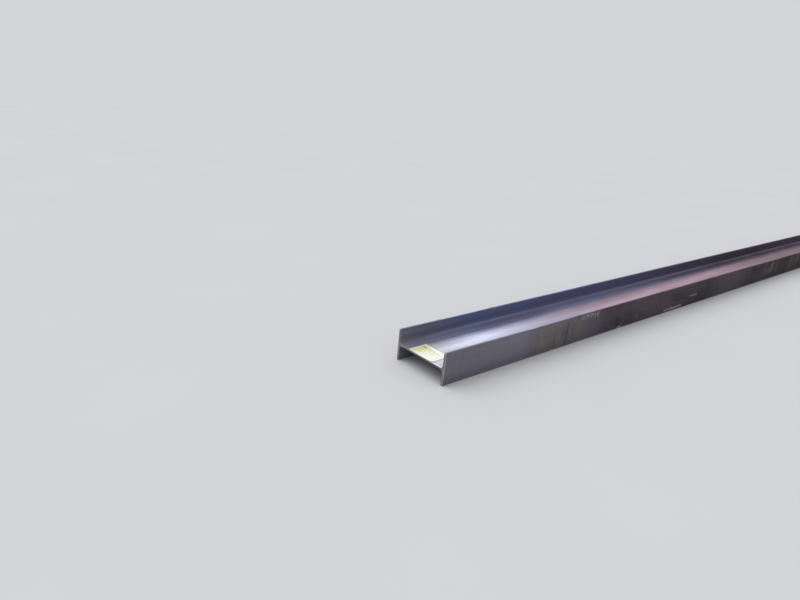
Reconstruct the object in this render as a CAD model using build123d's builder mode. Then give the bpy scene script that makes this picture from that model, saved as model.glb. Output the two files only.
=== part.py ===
"""One length of hot-rolled H-beam, lying on its side on the toes of its two flanges.

X runs along the length, Y across the depth of the section and Z up. The origin is on the ground under
the middle of the beam, so the web lies level at half the width of the flanges. A paper label is stuck on
top of the web at the sawn end at low X. All sizes are in millimetres.
"""

from build123d import *

import os

# The rolled section, 250 x 125 x 6 x 9
section_depth = 250
flange_width = 125
web_thickness = 6
flange_thickness = 9
root_radius = 12
toe_radius = 1.5

# The stock length that the section is sold in
stock_length = 6000

# The label, with its long side across the web
label_width = 125
label_length = 87
label_thickness = 0.3
label_corner_radius = 2
label_setback = 1.5
label_offset = 4

# Places that follow from the sizes
low_end = -stock_length / 2
flange_middle = (section_depth - flange_thickness) / 2
clear_depth = section_depth - 2 * flange_thickness
web_middle = flange_width / 2
web_top = web_middle + web_thickness / 2

# The beam is one solid, as rolled: two flanges joined by the web, with a fillet at each of the four roots.
# The toes of the flanges have a small rounding, and both ends are sawn square.
with BuildPart() as h_beam:
    with BuildSketch(Plane.YZ.offset(low_end)) as section:
        with Locations((-flange_middle, web_middle), (flange_middle, web_middle)):
            RectangleRounded(flange_thickness, flange_width, toe_radius)
        with Locations((0, web_middle)):
            Rectangle(clear_depth, web_thickness)
        roots = section.vertices().filter_by(lambda corner: abs(corner.Y - web_middle) < web_thickness)
        fillet(roots, root_radius)
    extrude(amount=stock_length)

h_beam.part.label = "h_beam"

# The label lies flat on the web, just inside the sawn end. It was stuck on by hand, a little off the middle.
with BuildPart() as mill_label:
    with BuildSketch(Plane.XY.offset(web_top)):
        with Locations((low_end + label_setback + label_length / 2, label_offset)):
            RectangleRounded(label_length, label_width, label_corner_radius)
    extrude(amount=label_thickness)

mill_label.part.label = "mill_label"

os.makedirs("parts", exist_ok=True)
export_step(h_beam.part, "parts/h_beam.step")
export_step(mill_label.part, "parts/mill_label.step")
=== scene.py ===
"""Looks of the rolled steel H-beam: its mill scale, its two sawn ends and the paper label stuck on its web.

All places are in metres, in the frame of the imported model: X along the beam, Y across the depth of its
section, Z up, with the labelled end at low X.
"""

import math
import random

import bmesh
import bpy
from mathutils import Matrix, Vector, noise


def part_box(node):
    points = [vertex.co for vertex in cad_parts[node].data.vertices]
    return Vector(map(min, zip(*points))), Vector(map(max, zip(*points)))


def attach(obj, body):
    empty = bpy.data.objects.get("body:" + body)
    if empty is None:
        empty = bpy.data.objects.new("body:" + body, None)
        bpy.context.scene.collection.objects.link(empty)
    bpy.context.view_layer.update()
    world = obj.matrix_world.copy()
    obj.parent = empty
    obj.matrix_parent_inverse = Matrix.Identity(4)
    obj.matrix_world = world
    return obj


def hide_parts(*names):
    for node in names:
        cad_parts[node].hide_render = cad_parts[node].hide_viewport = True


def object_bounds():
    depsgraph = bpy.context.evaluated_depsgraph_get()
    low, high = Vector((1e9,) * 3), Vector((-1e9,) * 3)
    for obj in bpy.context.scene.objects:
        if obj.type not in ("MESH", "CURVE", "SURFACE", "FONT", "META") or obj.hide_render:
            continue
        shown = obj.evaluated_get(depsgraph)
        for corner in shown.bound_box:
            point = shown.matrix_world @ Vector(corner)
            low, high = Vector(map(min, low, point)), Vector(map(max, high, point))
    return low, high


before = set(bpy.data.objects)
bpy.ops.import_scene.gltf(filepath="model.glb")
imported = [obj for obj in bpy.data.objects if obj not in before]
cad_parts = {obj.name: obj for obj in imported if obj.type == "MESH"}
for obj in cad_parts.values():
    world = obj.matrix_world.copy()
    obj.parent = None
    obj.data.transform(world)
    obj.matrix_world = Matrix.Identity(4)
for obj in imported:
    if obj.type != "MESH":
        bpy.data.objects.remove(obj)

cad_low, cad_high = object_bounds()


# The camera stands where the photograph was taken: a metre above the ground, before the labelled end and
# off to the near side, looking along the beam and down on it. It was held a few degrees out of level.
camera_place = (-4.3655, -1.4126, 0.9694)
camera_turn = (70.307, -5.100, -39.557)
camera_lens = 27.0

camera = bpy.data.objects.new("camera", bpy.data.cameras.new("camera"))
camera.location = camera_place
camera.rotation_euler = [math.radians(angle) for angle in camera_turn]
camera.data.lens = camera_lens
bpy.context.scene.collection.objects.link(camera)
bpy.context.scene.camera = camera


# The floor is a plain pale studio floor that runs to the horizon, in the tone of the air above it. The
# daylight is even and soft, and two wide soft lamps beyond the beam are there for its sheen.
floor_reach = 400
floor_colour = (0.703, 0.699, 0.700)
floor_roughness = 0.9
mottle_scale = 1.6
mottle_darkest = 0.97
mottle_palest = 1.03
backdrop_colour = (0.655, 0.665, 0.685)
daylight_colour = (0.92, 0.95, 1.0)
daylight_strength = 0.65
overhead_strength = 1.25
overhead_spread = 60
overhead_tilt = (-28, -18, 0)
sheen_lamps = {
    "cool_sheen": {
        "place": (2.6, 6.9, 4.5),
        "aim": (-2.6, 0, 0.06),
        "size": 5.0,
        "power": 860,
        "tint": (0.86, 1, 0.92),
    },
    "warm_sheen": {
        "place": (6.1, 3.9, 2.8),
        "aim": (-1.2, 0, 0.06),
        "size": 3.2,
        "power": 72,
        "tint": (1, 0.76, 0.82),
    },
}


def node(tree, kind, inputs=(), **settings):
    """Adds a shader node. A value for an input is a plain value, or the output that feeds it."""
    made = tree.nodes.new("ShaderNode" + kind)
    for name, value in settings.items():
        setattr(made, name, value)
    for name, value in dict(inputs).items():
        if isinstance(value, bpy.types.NodeSocket):
            tree.links.new(value, made.inputs[name])
        else:
            made.inputs[name].default_value = value
    return made


def new_material(name):
    """Makes an empty material and gives it with its node tree."""
    material = bpy.data.materials.new(name)
    material.use_nodes = True
    material.node_tree.nodes.clear()
    return material, material.node_tree


floor_finish, tree = new_material("pale_floor")
place = node(tree, "TexCoord").outputs["Object"]
mottle = node(tree, "TexNoise", {"Vector": place, "Scale": mottle_scale, "Detail": 6}).outputs["Fac"]
shade = node(tree, "MapRange", {"Value": mottle, "To Min": mottle_darkest, "To Max": mottle_palest})
shade = shade.outputs["Result"]
colour = node(tree, "VectorMath", {0: floor_colour, "Scale": shade}, operation="SCALE").outputs["Vector"]
surface = node(tree, "BsdfPrincipled", {"Base Color": colour, "Roughness": floor_roughness,
                                        "Specular IOR Level": 0.0})
node(tree, "OutputMaterial", {"Surface": surface.outputs["BSDF"]})

slab = bmesh.new()
bmesh.ops.create_grid(slab, x_segments=1, y_segments=1, size=floor_reach)
floor_mesh = bpy.data.meshes.new("floor")
slab.to_mesh(floor_mesh)
floor_mesh.materials.append(floor_finish)
floor = bpy.data.objects.new("floor", floor_mesh)
bpy.context.scene.collection.objects.link(floor)

world = bpy.data.worlds.new("studio")
world.use_nodes = True
tree = world.node_tree
tree.nodes.clear()
rays = node(tree, "LightPath").outputs
seen = node(tree, "Math", {0: rays["Is Glossy Ray"], 1: rays["Is Transmission Ray"]}, operation="MAXIMUM")
seen = node(tree, "Math", {0: seen.outputs[0], 1: rays["Is Camera Ray"]}, operation="MAXIMUM")
lit = node(tree, "Background", {"Color": (*daylight_colour, 1), "Strength": daylight_strength})
shown = node(tree, "Background", {"Color": (*backdrop_colour, 1), "Strength": 1.0})
around = node(tree, "MixShader", {0: seen.outputs[0], 1: lit.outputs[0], 2: shown.outputs[0]})
node(tree, "OutputWorld", {"Surface": around.outputs[0]})
bpy.context.scene.world = world

overhead = bpy.data.objects.new("overhead_light", bpy.data.lights.new("overhead_light", "SUN"))
overhead.data.energy = overhead_strength
overhead.data.angle = math.radians(overhead_spread)
overhead.rotation_euler = [math.radians(angle) for angle in overhead_tilt]
bpy.context.scene.collection.objects.link(overhead)

for name, lamp in sheen_lamps.items():
    light = bpy.data.lights.new(name, "AREA")
    light.shape = "DISK"
    light.size = lamp["size"]
    light.energy = lamp["power"]
    light.color = lamp["tint"]
    stand = bpy.data.objects.new(name, light)
    stand.location = lamp["place"]
    aim = Vector(lamp["aim"]) - Vector(lamp["place"])
    stand.rotation_euler = aim.to_track_quat("-Z", "Y").to_euler()
    stand.visible_diffuse = False
    bpy.context.scene.collection.objects.link(stand)

bpy.context.scene.view_settings.view_transform = "Standard"


# The beam is one bar of structural steel, rolled hot into an H. The rolls leave flat faces, a round
# fillet at each root and a small rounding on each toe. A saw cuts both ends square, and handling nicks
# the toes. Thin mill scale covers what was rolled, while the cut ends are bare and tan with first rust.
web_thickness = 0.006
flange_thickness = 0.009
root_radius = 0.012
toe_radius = 0.0015
end_arris = 0.0008
root_steps = 8
toe_steps = 3
widest_strip = 0.014
run_steps = 480
merge_gap = 0.00001
crease_angle = 40
waviness = 0.00025
waves_along = 3
waves_around = 14
toe_nicks = 26
nick_seed = 7
nick_half_length = (0.014, 0.035)
nick_depth = (0.0003, 0.0011)
nick_reach = toe_radius * 1.2
first_nick = 0.2
last_nick = 0.1

depth = cad_high.y - cad_low.y
width = cad_high.z - cad_low.z
length = cad_high.x - cad_low.x
inner_face = depth / 2 - flange_thickness
web_half = web_thickness / 2

bar = bmesh.new()


def at(y, z):
    """The corners of the outline that lie this far from the middle of the section, across and up."""
    return [v for v in bar.verts if abs(abs(v.co.y) - y) < merge_gap and abs(abs(v.co.z) - z) < merge_gap]


def rounded(vertices, radius, steps):
    """Rounds these corners of the outline."""
    bmesh.ops.bevel(bar, geom=vertices, offset=radius, offset_type="OFFSET", affect="VERTICES",
                    segments=steps, profile=0.5, material=-1)


# A quarter of the outline is drawn at the middle of the section, and mirrored both ways
quarter = [
    (0, web_half),
    (inner_face, web_half),
    (inner_face, width / 2),
    (depth / 2, width / 2),
    (depth / 2, 0),
]
corners = [bar.verts.new((cad_low.x, y, z)) for y, z in quarter]
for start, end in zip(corners, corners[1:]):
    bar.edges.new((start, end))
for axis in "YZ":
    bmesh.ops.mirror(bar, geom=bar.verts[:] + bar.edges[:], matrix=Matrix.Identity(4),
                     merge_dist=merge_gap, axis=axis)
rounded(at(inner_face, web_half), root_radius, root_steps)
rounded(at(inner_face, width / 2) + at(depth / 2, width / 2), toe_radius, toe_steps)
for flat in [edge for edge in bar.edges if edge.calc_length() > widest_strip]:
    bmesh.ops.subdivide_edges(bar, edges=[flat], cuts=int(flat.calc_length() / widest_strip))

# The outline becomes the sawn face, which is drawn out to the full length
section = bmesh.ops.contextual_create(bar, geom=bar.edges[:])["faces"]
far_end = bmesh.ops.extrude_face_region(bar, geom=section, use_keep_orig=True)["geom"]
moved = [part for part in far_end if isinstance(part, bmesh.types.BMVert)]
bmesh.ops.translate(bar, verts=moved, vec=(length, 0, 0))
bmesh.ops.recalc_face_normals(bar, faces=bar.faces[:])
sawn = [face for face in bar.faces if abs(face.normal.x) > 0.9]
for face in bar.faces:
    face.smooth = face not in sawn
    face.material_index = int(face in sawn)
rim = {edge for face in sawn for edge in face.edges}
bmesh.ops.bevel(bar, geom=list(rim), offset=end_arris, offset_type="OFFSET", affect="EDGES", segments=1,
                profile=0.5, material=1)
runs = [edge for edge in bar.edges if edge.calc_length() > length / 2]
bmesh.ops.subdivide_edges(bar, edges=runs, cuts=run_steps - 1)

# The rolled faces are never quite flat
for v in bar.verts:
    if abs(v.co.x) < length / 2 - end_arris:
        swell = noise.noise((v.co.x * waves_along, v.co.y * waves_around, v.co.z * waves_around))
        v.co += v.normal * swell * waviness

# Each nick pushes a short stretch of one toe in towards the web
pick = random.Random(nick_seed)
for nick in range(toe_nicks):
    middle = pick.uniform(cad_low.x + first_nick, cad_high.x - last_nick)
    half = pick.uniform(*nick_half_length)
    deep = pick.uniform(*nick_depth)
    side = pick.choice((-1, 1))
    end = pick.choice((-1, 1))
    for v in bar.verts:
        reach = abs(v.co.x - middle) / half
        if reach < 1 and v.co.y * side > 0 and v.co.z * end > width / 2 - nick_reach:
            v.co.z -= end * deep * (1 - reach ** 2)

bmesh.ops.translate(bar, verts=bar.verts[:], vec=(0, 0, width / 2))
beam_mesh = bpy.data.meshes.new("rolled_beam")
bar.to_mesh(beam_mesh)
beam_mesh.set_sharp_from_angle(angle=math.radians(crease_angle))
beam = bpy.data.objects.new("rolled_beam", beam_mesh)
bpy.context.scene.collection.objects.link(beam)


def sums(tree, operation, *values):
    """One step of arithmetic on numbers or outputs."""
    return node(tree, "Math", dict(enumerate(values)), operation=operation).outputs[0]


def product(tree, *values):
    """Multiplies any number of values."""
    total = values[0]
    for value in values[1:]:
        total = sums(tree, "MULTIPLY", total, value)
    return total


def blended(tree, share, under, over):
    """Lays one colour over another by a share from 0 to 1."""
    return node(tree, "Mix", {0: share, 6: under, 7: over}, data_type="RGBA").outputs[2]


def shaded(tree, colour, lightness):
    """Makes a colour lighter or darker."""
    return node(tree, "VectorMath", {0: colour, "Scale": lightness}, operation="SCALE").outputs[0]


def grain(tree, place, stretch, detail=4.0, warp=0.0, turn=(0, 0, 0), crispness=0.55):
    """Noise from 0 to 1, with so many features in each metre along X, Y and Z."""
    spread = node(tree, "Mapping", {"Vector": place, "Rotation": turn}).outputs[0]
    spread = node(tree, "Mapping", {"Vector": spread, "Scale": stretch}).outputs[0]
    return node(tree, "TexNoise", {"Vector": spread, "Scale": 1.0, "Detail": detail,
                                   "Roughness": crispness, "Distortion": warp}).outputs["Fac"]


def between(tree, value, low, high, start=0.0, end=1.0):
    """Goes smoothly from start to end while the value goes from low to high."""
    return node(tree, "MapRange", {"Value": value, "From Min": low, "From Max": high, "To Min": start,
                                   "To Max": end}, interpolation_type="SMOOTHSTEP").outputs["Result"]


def inside(tree, value, low, high, edge):
    """Is 1 from low to high and 0 outside, with soft edges."""
    rising = between(tree, value, low - edge, low + edge)
    return product(tree, rising, between(tree, value, high + edge, high - edge))


def rgba(red, green, blue):
    return (red, green, blue, 1)


def new_effect(name, inputs, outputs):
    """Makes an effect that several finishes share, as a node group with named inputs and outputs."""
    effect = bpy.data.node_groups.new(name, "ShaderNodeTree")
    for way, sockets in (("INPUT", inputs), ("OUTPUT", outputs)):
        for title, kind in sockets.items():
            effect.interface.new_socket(title, in_out=way, socket_type="NodeSocket" + kind)
    return effect, effect.nodes.new("NodeGroupInput").outputs, effect.nodes.new("NodeGroupOutput").inputs


# First rust: fine orange specks that gather into brown patches as the amount goes up
rust_brown = rgba(0.115, 0.055, 0.038)
rust_orange = rgba(0.290, 0.125, 0.050)

first_rust, given, put_out = new_effect("first_rust", {"Place": "Vector", "Amount": "Float"},
                                        {"Share": "Float", "Colour": "Color"})
specks = grain(first_rust, given["Place"], (330, 420, 420), detail=5)
clouds = grain(first_rust, given["Place"], (20, 42, 42), detail=5, warp=0.5)
reach = sums(first_rust, "MULTIPLY_ADD", clouds, 0.5, product(first_rust, specks, 0.5))
limit = sums(first_rust, "MULTIPLY_ADD", given["Amount"], -0.34, 0.70)
over = sums(first_rust, "SUBTRACT", reach, limit)
first_rust.links.new(between(first_rust, over, 0.0, 0.16), put_out["Share"])
rust_shade = between(first_rust, specks, 0.35, 0.65)
first_rust.links.new(blended(first_rust, rust_shade, rust_brown, rust_orange), put_out["Colour"])

# Dust and dried water settle in clouds and flecks on what faces up
dust_tan = rgba(0.34, 0.31, 0.27)

yard_dust, given, put_out = new_effect("yard_dust",
                                       {"Place": "Vector", "Upward": "Float", "Amount": "Float"},
                                       {"Share": "Float"})
cloud = grain(yard_dust, given["Place"], (5, 14, 14), detail=6)
fleck = grain(yard_dust, given["Place"], (260, 260, 260), detail=2)
lie = between(yard_dust, given["Upward"], 0.2, 0.95)
flecked = between(yard_dust, fleck, 0.2, 0.7, 0.5, 1)
film = product(yard_dust, between(yard_dust, cloud, 0.35, 0.75), flecked)
yard_dust.links.new(product(yard_dust, lie, film, given["Amount"]), put_out["Share"])

# Mill scale is a thin hard skin of oxide. It runs from slate blue to violet and brown, and scuffs grey
slate_blue = rgba(0.082, 0.110, 0.185)
violet = rgba(0.092, 0.086, 0.150)
brown_grey = rgba(0.090, 0.080, 0.088)
end_grey = rgba(0.108, 0.104, 0.116)
sheen_pink = rgba(0.138, 0.088, 0.112)
outer_blue = rgba(0.092, 0.090, 0.113)
outer_green = rgba(0.098, 0.096, 0.091)
painted_shade_grey = rgba(0.013, 0.013, 0.015)
dull_brown = rgba(0.070, 0.054, 0.064)
weathered_grey = rgba(0.078, 0.070, 0.079)
flaked_grey = rgba(0.165, 0.170, 0.200)
toe_highlight_grey = rgba(0.19, 0.17, 0.21)
rubbed_grey = rgba(0.40, 0.37, 0.39)
stain_olive = rgba(0.105, 0.105, 0.072)
stain_tan = rgba(0.185, 0.155, 0.130)
drip_rust = rgba(0.38, 0.31, 0.22)
scraped_paint = rgba(0.42, 0.37, 0.27)
scraped_olive = rgba(0.30, 0.27, 0.15)
drip_and_shade_dark = rgba(0.016, 0.013, 0.016)
drip_brown = rgba(0.060, 0.032, 0.026)
pale_speck = rgba(0.46, 0.43, 0.43)
scale_glint = rgba(1.0, 0.76, 0.90)
scale_ior = 1.6

mill_scale, tree = new_material("mill_scale")
point = node(tree, "TexCoord").outputs
place = point["Object"]
upward = node(tree, "SeparateXYZ", {0: point["Normal"]}).outputs["Z"]
along, across, up = node(tree, "SeparateXYZ", {0: place}).outputs
from_middle = sums(tree, "ABSOLUTE", sums(tree, "SUBTRACT", up, width / 2))
from_centre = sums(tree, "ABSOLUTE", across)
to_end = sums(tree, "SUBTRACT", length / 2, sums(tree, "ABSOLUTE", along))
from_label_end = sums(tree, "SUBTRACT", along, cad_low.x)

# Grain of several sizes, long in the direction of rolling
bands = grain(tree, place, (0.8, 7, 7), detail=3)
patches = grain(tree, place, (2.2, 15, 15), detail=5, warp=0.6)
rolled = grain(tree, place, (1.1, 60, 60), detail=3)
streaks = grain(tree, place, (2.6, 190, 190), detail=5)
speckle = grain(tree, place, (420, 420, 420), detail=3)
flakes = grain(tree, place, (9, 22, 22), detail=7, warp=0.8)
runs_down = grain(tree, place, (95, 2, 5), detail=4)
ragged = grain(tree, place, (170, 170, 170), detail=3)

# Scale cools to a bluer grey inside the troughs than on the outer faces, and flakes off here and there
outer = between(tree, from_centre, inner_face + 0.0085, depth / 2 - 0.0001)
further = sums(tree, "MULTIPLY_ADD", from_label_end, 0.08, bands)
colour = blended(tree, between(tree, further, 0.45, 0.75), slate_blue, violet)
colour = blended(tree, between(tree, patches, 0.48, 0.70, 0, 0.7), colour, brown_grey)
colour = blended(tree, between(tree, from_label_end, 0.45, 0.05, 0, 0.6), colour, end_grey)
tarnish = between(tree, grain(tree, place, (6, 15, 15), detail=3, warp=0.5), 0.38, 0.60)
outer_tone = blended(tree, tarnish, outer_blue, outer_green)
colour = blended(tree, product(tree, outer, 0.80), colour, outer_tone)
colour = blended(tree, between(tree, flakes, 0.63, 0.70, 0, 0.32), colour, flaked_grey)
lined = between(tree, outer, 0, 1, 0.12, 0.04)
# Painted shade: besides the grain, the lightness paints the colour lighter at the labelled end, darker
# along the beam, and darker again from 2.3 m on
lightness = product(tree, sums(tree, "MULTIPLY_ADD", between(tree, rolled, 0.3, 0.7, -1, 1), lined, 1),
                    sums(tree, "MULTIPLY_ADD", between(tree, streaks, 0.25, 0.75, -1, 1), lined, 1),
                    between(tree, speckle, 0.2, 0.8, 0.86, 1.14),
                    between(tree, from_label_end, 0.2, 3.0, 1.75, 0.70),
                    between(tree, from_label_end, 2.3, 3.3, 1, 0.65))
colour = shaded(tree, colour, lightness)

# Painted highlight: the web along its far root is painted paler near the labelled end and from about 0.8 to
# 1.9 m
painted_sheen_stretch = sums(tree, "MAXIMUM", between(tree, from_label_end, 0.50, 0.28),
                    inside(tree, from_label_end, 0.82, 1.85, 0.25))
painted_sheen_root = product(tree, between(tree, upward, 0.75, 0.97), between(tree, across, 0.0, 0.07), painted_sheen_stretch)
colour = shaded(tree, colour, sums(tree, "MULTIPLY_ADD", painted_sheen_root, 0.42, 1))

# Painted reflection: from half a metre in, the up-facing near part of the web is painted pink where the
# sheen falls on it
painted_pink_sheen = product(tree, between(tree, upward, 0.6, 0.95), between(tree, from_label_end, 0.45, 1.3),
                 between(tree, across, 0.085, 0.02), between(tree, patches, 0.2, 0.6, 0.6, 0.9))
colour = blended(tree, painted_pink_sheen, colour, sheen_pink)

# Rain has run down the outer faces. The near one is dull from a metre in, and painted dark there as shade
near_side_starts = -0.1236
near_side_full = -0.1246
near_side = between(tree, across, near_side_starts, near_side_full)
dull_and_painted_shade = product(tree, near_side, between(tree, from_label_end, 0.55, 1.15),
               between(tree, patches, 0.25, 0.5, 0.8, 1))
colour = blended(tree, dull_and_painted_shade, colour, painted_shade_grey)
washed = product(tree, outer, between(tree, runs_down, 0.50, 0.70),
                 between(tree, patches, 0.35, 0.6, 0.05, 0.35))
colour = blended(tree, washed, colour, stain_olive)

# Rust starts at the toes and beside the saw cuts
rusty_toe = 0.025
rusty_cut = 0.10
toe_zone = between(tree, from_middle, width / 2 - rusty_toe, width / 2, 0, 0.50)
cut_zone = between(tree, to_end, rusty_cut, 0.0, 0, 0.50)
rust_amount = sums(tree, "ADD", sums(tree, "MAXIMUM", toe_zone, cut_zone), 0.06)
rust = node(tree, "Group", {"Place": place, "Amount": rust_amount}, node_tree=first_rust).outputs
colour = blended(tree, product(tree, rust["Share"], 0.65), colour, rust["Colour"])

# The saw has rubbed the scale off a few millimetres of the rim
least_rub = 0.001
ragged_rub = 0.006
rub_edge = sums(tree, "MULTIPLY_ADD", ragged, ragged_rub, least_rub)
rubbed = between(tree, sums(tree, "SUBTRACT", to_end, rub_edge), 0.001, -0.0005)
colour = blended(tree, product(tree, rubbed, 0.8), colour, rubbed_grey)

# The near side has marks of its own. Their outlines wobble by a few millimetres
wobble_along = 0.016
wobble_up = 0.014
wobbly_along = grain(tree, place, (70, 70, 70), detail=3)
wobbly_along = sums(tree, "MULTIPLY_ADD", wobbly_along, wobble_along, from_label_end)
wobbly_up = grain(tree, place, (55, 55, 55), detail=3, turn=(1, 1, 1))
wobbly_up = sums(tree, "MULTIPLY_ADD", wobbly_up, wobble_up, up)
fine_runs = between(tree, grain(tree, place, (140, 1, 9), detail=4), 0.48, 0.62)
broad_runs = between(tree, grain(tree, place, (46, 1, 5), detail=5, warp=0.25), 0.47, 0.60)
hanging = sums(tree, "MULTIPLY_ADD", grain(tree, place, (80, 1, 1), detail=2), 0.100, up)
rust_runs = product(tree, between(tree, hanging, 0.1500, 0.1600), between(tree, ragged, 0.36, 0.55))
scrape = between(tree, grain(tree, place, (16, 1, 240), detail=3), 0.40, 0.56)
full_height = (-0.1, 0.3)

# Each mark: its strength, colour, reach from the labelled end, heights above the ground, and soft edge
near_marks = [
    # Dull and greenish stretches
    (0.55, dull_brown, (1.18, 1.60), full_height, 0.10),
    (0.60, weathered_grey, (2.12, 2.50), full_height, 0.14),
    (0.28, weathered_grey, (0.98, 2.60), (0.080, 0.2), 0.03),
    (0.60, outer_green, (0.46, 0.84), full_height, 0.06),
    (0.45, outer_blue, (0.84, 0.98), full_height, 0.04),
    (0.35, dull_brown, (-0.2, 0.95), (-0.1, 0.038), 0.03),
    # Water streaks
    (product(tree, broad_runs, 0.75), stain_olive, (0.50, 0.82), full_height, 0.05),
    (product(tree, fine_runs, 0.60), stain_tan, (0.50, 0.70), (0.030, 0.140), 0.03),
    (product(tree, fine_runs, 0.60), drip_and_shade_dark, (0.62, 0.77), (-0.02, 0.100), 0.03),
    (0.60, drip_and_shade_dark, (0.714, 0.727), (0.012, 0.114), 0.008),
    # Rust runs under the toe
    (0.65, drip_brown, (0.78, 1.00), (0.120, 0.160), 0.008),
    (product(tree, rust_runs, 0.85), drip_rust, (0.81, 0.95), (0.092, 0.127), 0.008),
    # A dark drip, and pale specks
    (0.45, dull_brown, (1.00, 1.18), full_height, 0.03),
    (0.95, drip_and_shade_dark, (1.114, 1.131), (0.019, 0.064), 0.005),
    (0.80, drip_and_shade_dark, (1.092, 1.148), (0.032, 0.054), 0.008),
    (0.95, pale_speck, (1.126, 1.152), (0.010, 0.016), 0.004),
    (0.50, pale_speck, (1.056, 1.064), (0.115, 0.120), 0.003),
    (0.70, drip_and_shade_dark, (1.075, 1.088), (0.108, 0.118), 0.004),
    (0.60, pale_speck, (1.824, 1.905), (0.057, 0.062), 0.004),
    # A scrape of paint low down
    (product(tree, scrape, 0.8), scraped_paint, (1.56, 1.75), (0.016, 0.029), 0.004),
    # Painted shade darkens the stretch from 2.76 to 3.6 m, which has olive smears
    (0.60, drip_and_shade_dark, (2.76, 3.60), full_height, 0.16),
    (product(tree, broad_runs, 0.42), scraped_olive, (2.82, 3.03), (0.055, 0.130), 0.03),
    (product(tree, broad_runs, 0.20), scraped_olive, (3.25, 3.43), (0.035, 0.130), 0.03),
    # Painted highlight: the lower toe that it lies on is painted paler from end to end
    (0.65, toe_highlight_grey, (-0.1, 6.2), (-0.1, 0.0115), 0.002),
]
for strength, over, reach, heights, edge in near_marks:
    share = product(tree, near_side, inside(tree, wobbly_along, *reach, edge),
                    inside(tree, wobbly_up, *heights, edge), strength)
    colour = blended(tree, share, colour, over)

# Chains and hooks leave thin scuffs across the faces
slanted = grain(tree, place, (260, 9, 9), detail=2, turn=(0.3, 0.5, 0.35))
crossed = grain(tree, place, (230, 12, 12), detail=2, turn=(-0.4, -0.3, -0.6))
scuffs = sums(tree, "MAXIMUM", between(tree, slanted, 0.70, 0.74), between(tree, crossed, 0.71, 0.75))
scuffs = product(tree, scuffs, between(tree, flakes, 0.46, 0.60, 0.0, 0.55))
colour = blended(tree, scuffs, colour, rubbed_grey)

dusty = node(tree, "Group", {"Place": place, "Upward": upward, "Amount": 0.16}, node_tree=yard_dust)
dust = dusty.outputs["Share"]
colour = blended(tree, dust, colour, dust_tan)

# Sound scale has a dull shine, and it is rougher where it is weathered, rusty, dusty or near a cut
roughness = between(tree, patches, 0.3, 0.7, 0.34, 0.44)
roughness = sums(tree, "ADD", roughness, between(tree, streaks, 0.2, 0.8, -0.04, 0.05))
roughness = sums(tree, "MULTIPLY_ADD", dull_and_painted_shade, 0.50, roughness)
roughness = sums(tree, "ADD", roughness, between(tree, to_end, 0.38, 0.04, 0, 0.14))
toe_wear = between(tree, from_middle, width / 2 - 0.002, width / 2 - 0.0002, 0, 0.30)
roughness = sums(tree, "ADD", roughness, toe_wear)
roughness = sums(tree, "MULTIPLY_ADD", sums(tree, "ADD", rust["Share"], dust), 0.28, roughness)
height = sums(tree, "MULTIPLY_ADD", speckle, 0.35, product(tree, streaks, 0.65))
height = sums(tree, "MULTIPLY_ADD", rust["Share"], 0.25, height)
height = sums(tree, "MULTIPLY_ADD", between(tree, flakes, 0.61, 0.65), -0.25, height)
relief = node(tree, "Bump", {"Height": height, "Strength": 0.14, "Distance": 0.001}).outputs["Normal"]
metal = sums(tree, "MULTIPLY_ADD", sums(tree, "ADD", rubbed, scuffs), 0.5, 0.35)
bare = between(tree, sums(tree, "ADD", rust["Share"], dust), 0.0, 0.8, 1, 0)
metal = product(tree, metal, bare, sums(tree, "MULTIPLY_ADD", dull_and_painted_shade, -0.8, 1))
surface = node(tree, "BsdfPrincipled", {"Base Color": colour, "Roughness": roughness, "Metallic": metal,
                                        "IOR": scale_ior, "Specular Tint": scale_glint, "Normal": relief})
node(tree, "OutputMaterial", {"Surface": surface.outputs["BSDF"]})

# The saw leaves fine upright lines and a pale burr on tan steel. The burr at the rim is painted paler as a
# highlight too, and the upper part of each cut is painted greyer and darker as shade
cut_tan = rgba(0.295, 0.230, 0.217)
cut_brown = rgba(0.200, 0.147, 0.130)
cut_shade_grey = rgba(0.148, 0.143, 0.182)
burr_and_highlight_grey = rgba(0.46, 0.42, 0.43)
burr_starts = 0.0019
burr_full = 0.0009

sawn_steel, tree = new_material("sawn_steel")
point = node(tree, "TexCoord").outputs
place = point["Object"]
along, across, up = node(tree, "SeparateXYZ", {0: place}).outputs
kerf = grain(tree, place, (1, 1100, 24), detail=3, turn=(0.12, 0, 0))
film = grain(tree, place, (70, 70, 70), detail=4)
colour = blended(tree, between(tree, film, 0.38, 0.66), cut_tan, cut_brown)
colour = blended(tree, between(tree, up, 0.055, 0.095, 0, 0.78), colour, cut_shade_grey)
colour = shaded(tree, colour, between(tree, kerf, 0.2, 0.8, 0.78, 1.22))
rust = node(tree, "Group", {"Place": place, "Amount": 0.52}, node_tree=first_rust).outputs
colour = blended(tree, product(tree, rust["Share"], 0.55), colour, rust["Colour"])
to_outer = sums(tree, "SUBTRACT", depth / 2, sums(tree, "ABSOLUTE", across))
to_toe = sums(tree, "SUBTRACT", width / 2, sums(tree, "ABSOLUTE", sums(tree, "SUBTRACT", up, width / 2)))
to_rim = sums(tree, "MINIMUM", to_outer, to_toe)
# Burr and painted highlight: the rim of each cut is painted paler
burr_and_highlight = between(tree, to_rim, burr_starts, burr_full, 0, 0.8)
colour = blended(tree, burr_and_highlight, colour, burr_and_highlight_grey)
relief = node(tree, "Bump", {"Height": kerf, "Strength": 0.35, "Distance": 0.001}).outputs["Normal"]
metal = between(tree, rust["Share"], 0, 0.6, 0.4, 0)
roughness = between(tree, kerf, 0.2, 0.8, 0.42, 0.58)
surface = node(tree, "BsdfPrincipled", {"Base Color": colour, "Roughness": roughness, "Metallic": metal,
                                        "Normal": relief})
node(tree, "OutputMaterial", {"Surface": surface.outputs["BSDF"]})

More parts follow.
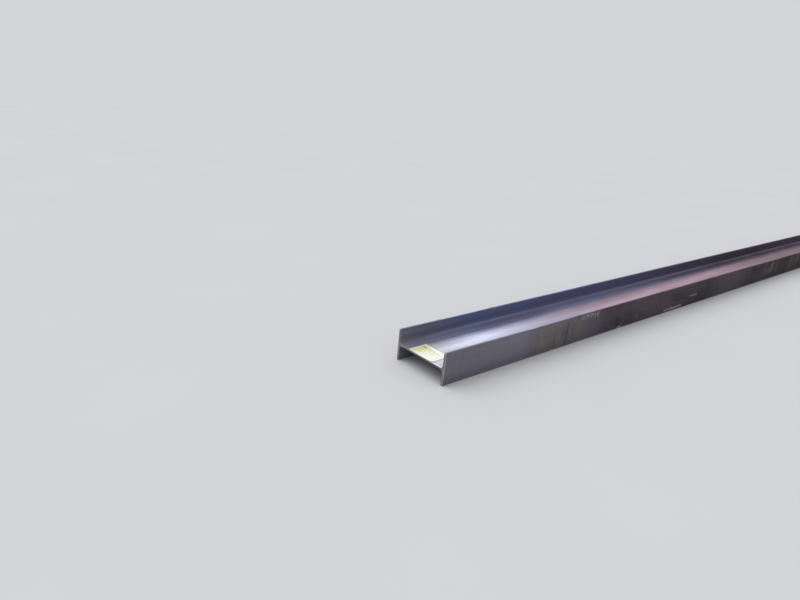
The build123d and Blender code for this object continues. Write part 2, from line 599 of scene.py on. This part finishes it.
beam_mesh.materials.append(mill_scale)
beam_mesh.materials.append(sawn_steel)
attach(beam, "root")
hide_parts("h_beam")


# The mill sticks a printed paper label on the web, at the sawn end. It is thin and lies in faint waves
# over the scale, with its corners lifting. Its near side is painted pale as a glare highlight, and its
# print is plain bars and rules.
label_corner = 0.002
corner_cuts = (22.5, 45, 67.5)
paper_thickness = 0.00015
paper_step = 0.0015
paper_lift = 0.0002
corner_lift = 0.0016
lift_from = 0.72
ripple_height = 0.00018
ripples_along = 30
ripples_across = 22

label_low, label_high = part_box("mill_label")
label_reach = label_high.x - label_low.x
label_across = label_high.y - label_low.y
label_middle = Vector((
    (label_low.x + label_high.x) / 2,
    (label_low.y + label_high.y) / 2,
    label_low.z + paper_lift,
))

paper = bmesh.new()
bmesh.ops.create_grid(paper, x_segments=round(label_reach / paper_step),
                      y_segments=round(label_across / paper_step), size=0.5,
                      matrix=Matrix.Diagonal((label_reach, label_across, 1, 1)))
for side in (-1, 1):
    for end in (-1, 1):
        hub = Vector((side * (label_reach / 2 - label_corner), end * (label_across / 2 - label_corner), 0))
        for slope in corner_cuts:
            slope = math.radians(slope)
            away = Vector((side * math.cos(slope), end * math.sin(slope), 0))
            bmesh.ops.bisect_plane(paper, geom=paper.verts[:] + paper.edges[:] + paper.faces[:],
                                   plane_co=hub + away * label_corner, plane_no=away, clear_outer=True)
for v in paper.verts:
    ripple = noise.noise((v.co.x * ripples_along, v.co.y * ripples_across, 3.0)) * ripple_height
    corner = abs(v.co.x) / (label_reach / 2) * abs(v.co.y) / (label_across / 2)
    v.co.z += abs(ripple) + corner_lift * max(0, corner - lift_from) ** 2 / (1 - lift_from) ** 2
bmesh.ops.solidify(paper, geom=paper.faces[:], thickness=-paper_thickness)
bmesh.ops.translate(paper, verts=paper.verts[:], vec=label_middle)
bmesh.ops.recalc_face_normals(paper, faces=paper.faces[:])
for face in paper.faces:
    face.smooth = True
paper_mesh = bpy.data.meshes.new("paper_label")
paper.to_mesh(paper_mesh)
paper_mesh.set_sharp_from_angle(angle=math.radians(crease_angle))
label = bpy.data.objects.new("paper_label", paper_mesh)
bpy.context.scene.collection.objects.link(label)

# Sizes of the print, measured down the label from the cut and over it from its near edge
label_border = 0.006
print_margin = 0.0072
frame_inset = 0.0075
rule_width = 0.0005
row_pitch = 0.0056
bar_in_row = (0.30, 0.68)
first_row = 0.0100
last_row = 0.0548
line_start = 0.0102
shortest_line = 0.058
line_variation = 0.055
column_rule = 0.041
header_row = (0.0590, 0.0690)
header_block = (0.090, 0.114)
header_words = (0.011, 0.084)
crisp = 0.0002

label_yellow = rgba(0.67, 0.62, 0.17)
label_faded = rgba(0.75, 0.70, 0.34)
label_glare_pale = rgba(0.87, 0.82, 0.70)
label_cream = rgba(0.86, 0.84, 0.68)
print_olive = rgba(0.23, 0.21, 0.035)
paper_ior = 1.4

label_paper, tree = new_material("label_paper")
point = node(tree, "TexCoord").outputs
place = point["Object"]
upward = node(tree, "SeparateXYZ", {0: point["Normal"]}).outputs["Z"]
along, across, up = node(tree, "SeparateXYZ", {0: place}).outputs
down_label = sums(tree, "SUBTRACT", along, label_low.x)
over_label = sums(tree, "SUBTRACT", across, label_low.y)
to_short = sums(tree, "MINIMUM", over_label, sums(tree, "SUBTRACT", label_across, over_label))
to_long = sums(tree, "MINIMUM", down_label, sums(tree, "SUBTRACT", label_reach, down_label))
to_side = sums(tree, "MINIMUM", to_short, to_long)

row = sums(tree, "DIVIDE", sums(tree, "SUBTRACT", down_label, first_row), row_pitch)
row_number = sums(tree, "FLOOR", row)
in_row = sums(tree, "FRACT", row)
row_seed = node(tree, "TexWhiteNoise", {"W": row_number}, noise_dimensions="1D").outputs["Value"]
line_end = sums(tree, "MULTIPLY_ADD", row_seed, line_variation, shortest_line)
along_row = node(tree, "CombineXYZ", {0: sums(tree, "MULTIPLY", row_number, 7.3), 1: across}).outputs[0]
words = between(tree, grain(tree, along_row, (1, 290, 1), detail=1), 0.41, 0.45)
before_end = between(tree, sums(tree, "SUBTRACT", over_label, line_end), 0.0003, -0.0003)
after_start = between(tree, over_label, line_start - crisp, line_start + crisp)
bars = product(tree, inside(tree, in_row, *bar_in_row, 0.03), words, before_end, after_start,
               inside(tree, down_label, first_row, last_row, crisp))

rules = sums(tree, "MAXIMUM", inside(tree, in_row, -0.01, rule_width / row_pitch, 0.01),
             inside(tree, over_label, column_rule, column_rule + rule_width, crisp / 2))
rules = product(tree, rules, inside(tree, down_label, first_row, last_row + rule_width, crisp))
frame_rule = inside(tree, to_side, frame_inset, frame_inset + rule_width, crisp / 2)

large_words = between(tree, grain(tree, place, (1, 120, 1), detail=0), 0.38, 0.42)
large_words = product(tree, inside(tree, over_label, *header_words, 0.0003), large_words)
header = sums(tree, "MAXIMUM", inside(tree, over_label, *header_block, crisp), large_words)
header = product(tree, inside(tree, down_label, *header_row, crisp), header)

lines = sums(tree, "MAXIMUM", rules, frame_rule)
printed = sums(tree, "MAXIMUM", sums(tree, "MAXIMUM", bars, header), lines)
printed = product(tree, printed, between(tree, to_side, print_margin - crisp, print_margin + crisp))

# The paper fades in patches. Its near side is painted pale as glare, and its ink is painted paler there too
fade = grain(tree, place, (22, 22, 22), detail=4)
fibre = grain(tree, place, (900, 900, 900), detail=2)
worn_and_glared_ink = between(tree, grain(tree, place, (70, 70, 70), detail=5), 0.30, 0.60, 0.62, 0.88)
colour = blended(tree, between(tree, fade, 0.35, 0.70), label_yellow, label_faded)
painted_glare = between(tree, sums(tree, "MULTIPLY_ADD", fade, 0.05, over_label), 0.132, 0.098, 0, 0.88)
colour = blended(tree, painted_glare, colour, label_glare_pale)
worn_and_glared_ink = product(tree, worn_and_glared_ink, sums(tree, "MULTIPLY_ADD", painted_glare, -0.6, 1))
colour = blended(tree, product(tree, printed, worn_and_glared_ink), colour, print_olive)
border = between(tree, to_side, label_border + crisp, label_border - crisp)
colour = blended(tree, border, colour, label_cream)
colour = shaded(tree, colour, between(tree, fibre, 0.2, 0.8, 0.95, 1.05))
dusty = node(tree, "Group", {"Place": place, "Upward": upward, "Amount": 0.22}, node_tree=yard_dust)
dust = dusty.outputs["Share"]
colour = blended(tree, dust, colour, dust_tan)
height = sums(tree, "MULTIPLY_ADD", fibre, 0.3, grain(tree, place, (60, 60, 60), detail=3))
relief = node(tree, "Bump", {"Height": height, "Strength": 0.15, "Distance": 0.001}).outputs["Normal"]
roughness = sums(tree, "MULTIPLY_ADD", dust, 0.3, between(tree, fade, 0.3, 0.7, 0.46, 0.54))
surface = node(tree, "BsdfPrincipled", {"Base Color": colour, "Roughness": roughness, "IOR": paper_ior,
                                        "Normal": relief})
node(tree, "OutputMaterial", {"Surface": surface.outputs["BSDF"]})

paper_mesh.materials.append(label_paper)
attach(label, "root")
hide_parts("mill_label")
